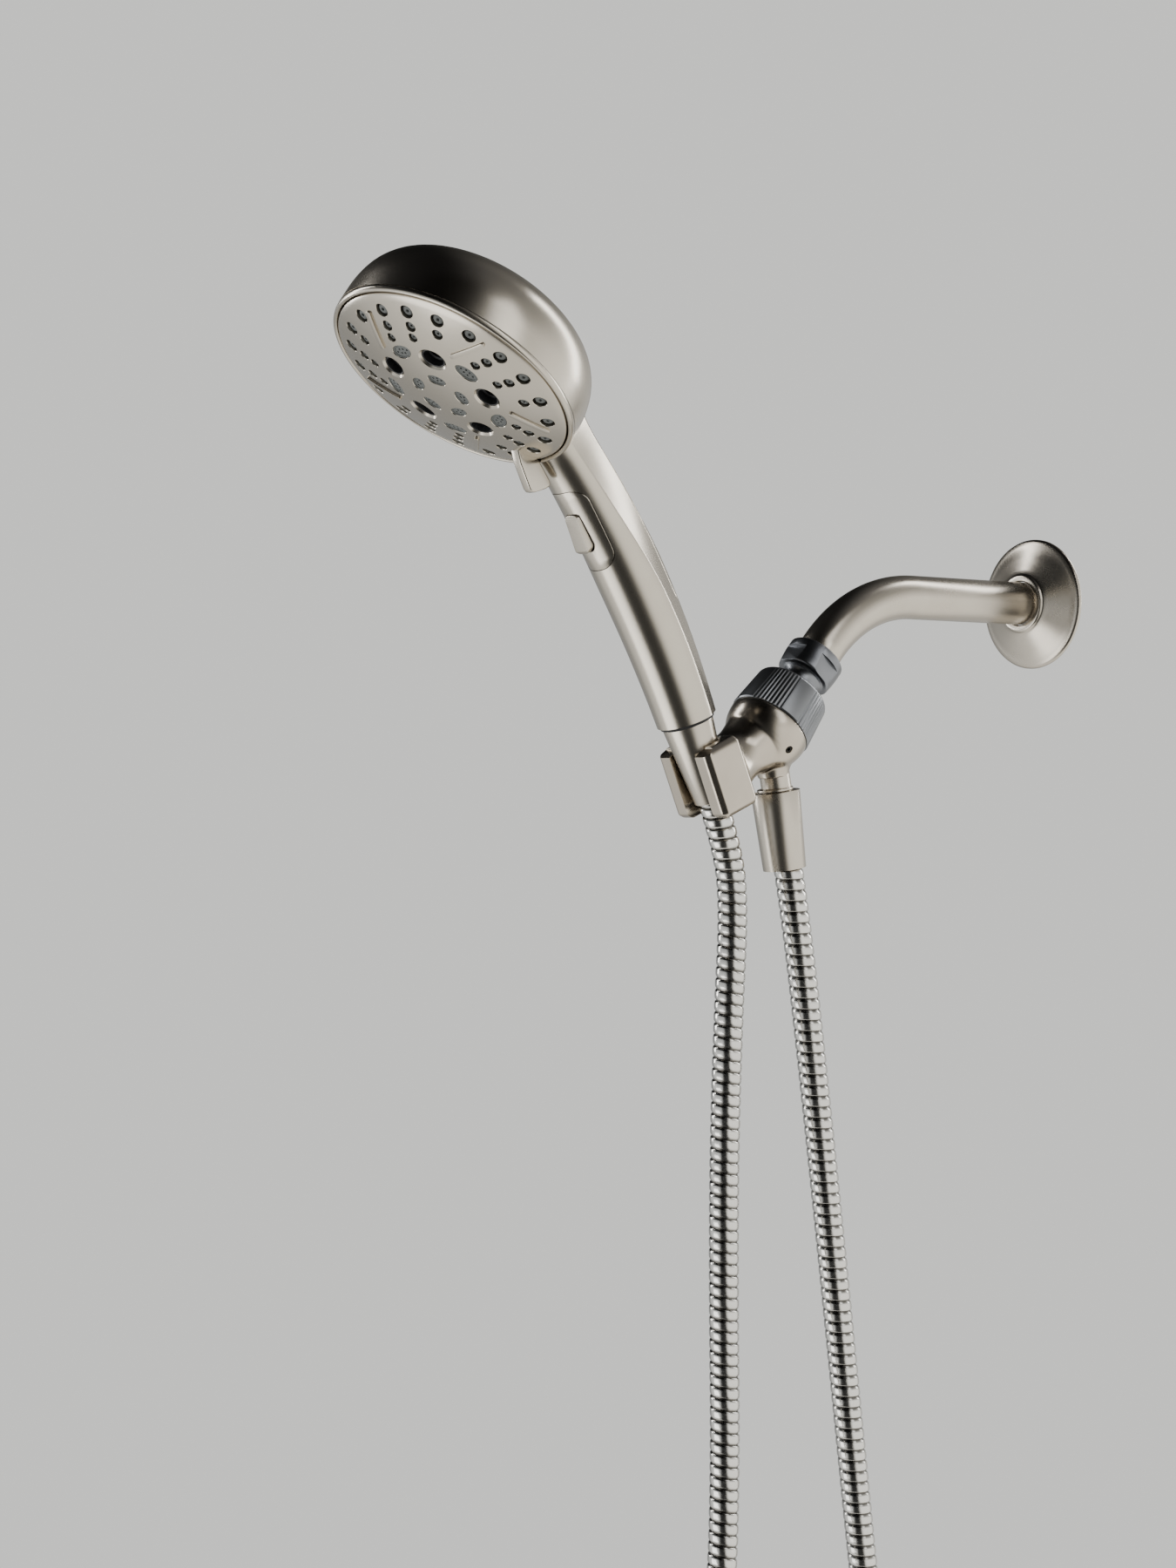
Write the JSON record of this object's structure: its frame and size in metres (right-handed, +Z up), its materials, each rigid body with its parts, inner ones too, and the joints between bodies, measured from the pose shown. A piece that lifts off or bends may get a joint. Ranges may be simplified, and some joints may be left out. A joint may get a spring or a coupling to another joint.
{
  "type": "handheld shower head",
  "caption": "Hand shower with a round spray head, curved handle, metal hose and a ball-jointed bracket on a wall arm.",
  "frame": {"origin": "centre of the wall flange's back face, where the arm enters the wall", "axes": "+Y into the wall along the arm's inlet, +Z up, +X along the wall; the handset hangs on the -Y side"},
  "size_m": [0.1168, 0.431, 0.9216],
  "materials": {
    "satin_nickel_brass": "satin",
    "dark_plated_brass": "satin",
    "dark_plated_plastic": "satin",
    "satin_nickel_plastic": "satin",
    "plain_brass": "satin",
    "grey_silicone": "matte",
    "black_rubber": "matte",
    "white_acetal": "matte",
    "dark_plastic": "matte",
    "stainless": "satin",
    "hose_spiral": "polished"
  },
  "bodies": {
    "arm_side": {"wall_flange": "satin_nickel_brass", "shower_arm": "satin_nickel_brass", "ball_stem": "dark_plated_brass", "inlet_screen": "stainless", "flow_restrictor": "white_acetal"},
    "swivel_liner": {"friction_ring": "white_acetal"},
    "swivel_seal": {"ball_seal": "black_rubber"},
    "bracket": {"clamp_nut": "dark_plated_plastic", "bracket_body": "satin_nickel_plastic", "grub_screw": "stainless", "outlet_pipe": "plain_brass", "outlet_ring": "satin_nickel_brass", "check_valve": "black_rubber", "bracket_hose_nut": "satin_nickel_brass", "bracket_hose_washer": "black_rubber", "bracket_ferrule": "plain_brass", "hose": "hose_spiral"},
    "hose_end": {"hand_ferrule": "plain_brass"},
    "handset": {"cone_nut": "satin_nickel_brass", "hand_hose_washer": "black_rubber", "nut_gasket": "black_rubber", "inlet_stub": "plain_brass", "filter_screen": "stainless", "flow_regulator": "white_acetal", "handset_shell": "satin_nickel_plastic", "trim_plate": "satin_nickel_plastic", "back_cover": "satin_nickel_plastic", "valve_body": "white_acetal", "water_tube_lower": "white_acetal", "water_tube_upper": "white_acetal", "rim_ring": "satin_nickel_plastic", "base_plate": "white_acetal", "base_screws": "stainless", "base_seal": "black_rubber", "turbine_chamber": "white_acetal", "axle_sleeve": "stainless", "detent_spring": "stainless", "detent_ball": "stainless"},
    "spray_selector": {"spray_face": "satin_nickel_plastic", "nozzle_mat": "grey_silicone", "spray_inserts": "grey_silicone", "jet_cups": "dark_plastic", "distributor": "white_acetal", "centre_screw": "stainless", "selector_lever": "satin_nickel_plastic"},
    "pause_button": {"pause_button": "satin_nickel_plastic"},
    "valve_plunger": {"valve_plunger": "white_acetal"},
    "turbine": {"turbine_rotor": "white_acetal"}
  },
  "joints": [
    {"name": "ball_swivel", "type": "hinge", "parent": "arm_side", "child": "swivel_liner", "pos_m": [0, -0.1724, -0.05628], "axis": [0, -0.6691, -0.7431], "range_deg": [-45, 45]},
    {"name": "ball_nod", "type": "hinge", "parent": "swivel_liner", "child": "swivel_seal", "pos_m": [0, -0.1724, -0.05628], "axis": [1, 0, 0], "range_deg": [-10, 10]},
    {"name": "ball_lean", "type": "hinge", "parent": "swivel_seal", "child": "bracket", "pos_m": [0, -0.1724, -0.05628], "axis": [0, -0.7431, 0.6691], "range_deg": [-10, 10]},
    {"name": "handset_lift", "type": "slide", "parent": "bracket", "child": "hose_end", "axis": [0, -0.3907, 0.9205], "range_m": [0, 0.045]},
    {"name": "handset_turn", "type": "hinge", "parent": "hose_end", "child": "handset", "pos_m": [0, -0.2305, -0.0615], "axis": [0, -0.3907, 0.9205], "range_deg": [-75, 75]},
    {"name": "spray_select", "type": "hinge", "parent": "handset", "child": "spray_selector", "pos_m": [0, -0.364, 0.083], "axis": [0, -0.5736, -0.8192], "range_deg": [-48, 48]},
    {"name": "pause_press", "type": "hinge", "parent": "handset", "child": "pause_button", "pos_m": [0, -0.2954, 0.02881], "axis": [1, 0, 0], "range_deg": [0, 9]},
    {"name": "plunger_slide", "type": "slide", "parent": "handset", "child": "valve_plunger", "axis": [0, 0.8202, 0.5721], "range_m": [0, 0.002]},
    {"name": "turbine_spin", "type": "hinge", "parent": "handset", "child": "turbine", "pos_m": [0, -0.364, 0.083], "axis": [0, -0.5736, -0.8192], "continuous": true}
  ],
  "couplings": [
    {"joint": "plunger_slide", "follows": "pause_press", "m_per_rad": 0.0121}
  ]
}
